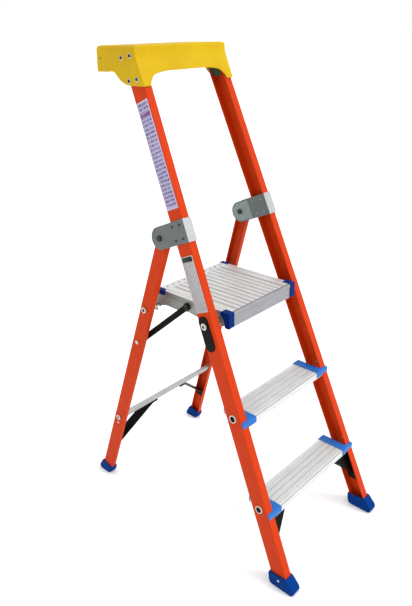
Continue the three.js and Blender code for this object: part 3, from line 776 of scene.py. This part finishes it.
def make_bracket_doublers():
    """A thin second plate round the pivot, on the inside of each bracket's inner plate."""
    radius, front_end = 0.031, 0.074
    near = FRONT_FLANGE_WIDTH + 0.00322
    far = near + 0.0006
    turns = [math.radians(angle) for angle in range(-90, 91, 10)]
    outline = [(HINGE_ACROSS + radius * math.cos(t), HINGE_ALONG + radius * math.sin(t)) for t in turns]
    outline += [(front_end, HINGE_ALONG + radius), (front_end, HINGE_ALONG - radius)]
    for side in SIDES:
        name = f"bracket_doubler_{side}"
        place = partial(FRONT.point, side)
        plate_piece(name, outline, near, far, place, "front_frame", "doubler")


def make_side_ribs():
    """Two thin ribs along the outside of each of the platform's side plates."""
    front_end, rear_end, width = -0.092, 0.136, 0.003
    bottoms = {"low": 0.8305, "high": 0.8390}
    near, far = 0.00005, 0.0012

    def beside(side, face, depth, across, along):
        return Vector((SIDES[side] * (face + depth), across, along))

    for side in SIDES:
        plate = f"platform_side_{side}"
        place = partial(beside, side, outermost(plate))
        for level, low in bottoms.items():
            high = low + width
            outline = [(front_end, low), (rear_end, low), (rear_end, high), (front_end, high)]
            name = f"side_rib_{level}_{side}"
            plate_piece(name, outline, near, far, place, BODY_OF[plate], "doubler")


def make_tread_gussets():
    """Thin plates that close the corner above each knee of the lower tread, behind the rail's flange."""
    top, top_inner, top_outer = 0.228, 0.1376, 0.2405
    bottom, bottom_inner, bottom_outer = 0.136, 0.2405, 0.2435
    thickness, behind_edge = 0.002, 0.0205
    outline = [(top_inner, top), (top_outer, top), (bottom_outer, bottom), (bottom_inner, bottom)]

    def behind_rail(side, depth, across, along):
        rail_y = FRONT.foot_y + along * math.tan(FRONT.lean) + behind_edge
        return Vector((SIDES[side] * across, rail_y + depth, along))

    for side in SIDES:
        name = f"tread_gusset_{side}"
        place = partial(behind_rail, side)
        plate_piece(name, outline, 0, thickness, place, "front_frame", "black")


def make_strip_plugs():
    """Dark plugs that close the row of eleven holes in the platform's rear strip."""
    strip = "platform_rear_strip"
    pitch, from_front, below_top, radius, height = 0.026, 0.018, 0.0024, 0.00385, 0.0008
    profile = [(0, 0, 0), (radius, 0, 0), (radius, height, 0), (0, height, 0)]
    low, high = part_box(strip)
    for i in range(11):
        base = Vector(((i - 5) * pitch, low.y + from_front, high.z - below_top))
        turned(f"strip_plug_{i}", profile, base, (0, 0, 1), BODY_OF[strip], ["black"], "black_steel", 20)


make_mouldings()
dress_frame()
dress_labels()
make_bolt_heads()
make_cap_screws()
make_bracket_rivets()
make_bracket_doublers()
make_side_ribs()
make_tread_gussets()
make_strip_plugs()
make_small_ends()


# ---------------------------------------------------------------- studio

def make_floor():
    """A pale floor that reaches the horizon, just under the boots."""
    reach, gap = 90, 0.0004
    bm = bmesh.new()
    bmesh.ops.create_grid(bm, x_segments=8, y_segments=8, size=reach)
    mesh = bpy.data.meshes.new("floor")
    bm.to_mesh(mesh)
    bm.free()
    paint = Paint("pale_floor")
    base = paint.mix(paint.span(paint.noise(0.8, 3), 0.3, 0.7), srgb(246, 246, 246), srgb(250, 250, 250))
    rough = paint.span(paint.noise(2, 3), 0.3, 0.7, 0.85, 0.95)
    mesh.materials.append(paint.finish(base, rough))
    floor = bpy.data.objects.new("floor", mesh)
    floor.location.z = CAD_BOX[0][2] - gap
    bpy.context.scene.collection.objects.link(floor)


def add_sun(name, towards, energy, spread):
    """A sun seen in the direction towards, as broad as spread degrees."""
    light = bpy.data.lights.new(name, "SUN")
    light.energy = energy
    light.angle = math.radians(spread)
    obj = bpy.data.objects.new(name, light)
    obj.rotation_mode = "QUATERNION"
    obj.rotation_quaternion = Vector(towards).to_track_quat("Z", "Y")
    bpy.context.scene.collection.objects.link(obj)


def make_world():
    """Soft white all round, a little darker low on the left."""
    brightest_way, darkest, brightest = Vector((0.55, 0.2, 0.8)), 0.72, 1.0
    world = bpy.data.worlds.new("studio")
    world.use_nodes = True
    tree = world.node_tree
    place = tree.nodes.new("ShaderNodeTexCoord")
    dot = tree.nodes.new("ShaderNodeVectorMath")
    dot.operation = "DOT_PRODUCT"
    dot.inputs[1].default_value = brightest_way.normalized()
    span = tree.nodes.new("ShaderNodeMapRange")
    span.inputs["From Min"].default_value = -0.9
    span.inputs["From Max"].default_value = 0.3
    span.inputs["To Min"].default_value = darkest
    span.inputs["To Max"].default_value = brightest
    tree.links.new(place.outputs["Generated"], dot.inputs[0])
    tree.links.new(dot.outputs["Value"], span.inputs["Value"])
    tree.links.new(span.outputs["Result"], tree.nodes["Background"].inputs["Strength"])
    tree.nodes["Background"].inputs["Color"].default_value = (1, 1, 1, 1)
    bpy.context.scene.world = world


def make_camera():
    """Three-quarter view from the front left, a little above the cap."""
    yaw, pitch, roll = math.radians(47.14), math.radians(-25.645), math.radians(-1.233)
    place = Vector((-1.38114, FRONT.foot_y - 0.74711, 1.62875))
    ahead = Vector((math.sin(yaw) * math.cos(pitch), math.cos(yaw) * math.cos(pitch), math.sin(pitch)))
    level = Vector((math.cos(yaw), -math.sin(yaw), 0))
    upright = level.cross(ahead)
    right = math.cos(roll) * level + math.sin(roll) * upright
    up = -math.sin(roll) * level + math.cos(roll) * upright
    data = bpy.data.cameras.new("camera")
    data.lens = 35.683
    data.shift_x, data.shift_y = -0.0161, 0.0208
    data.clip_start, data.clip_end = 0.05, 200
    camera = bpy.data.objects.new("camera", data)
    rotation = Matrix((right, up, -ahead)).transposed().to_4x4()
    camera.matrix_world = Matrix.Translation(place) @ rotation
    bpy.context.scene.collection.objects.link(camera)
    bpy.context.scene.camera = camera


make_floor()
make_world()
add_sun("key", (0.35, -0.85, 0.75), 1.6, 30)
add_sun("side", (-0.9, -0.35, 0.5), 0.1, 40)
add_sun("top", (0.1, 0.1, 1), 0.6, 50)
make_camera()
bpy.context.scene.view_settings.view_transform = "Standard"
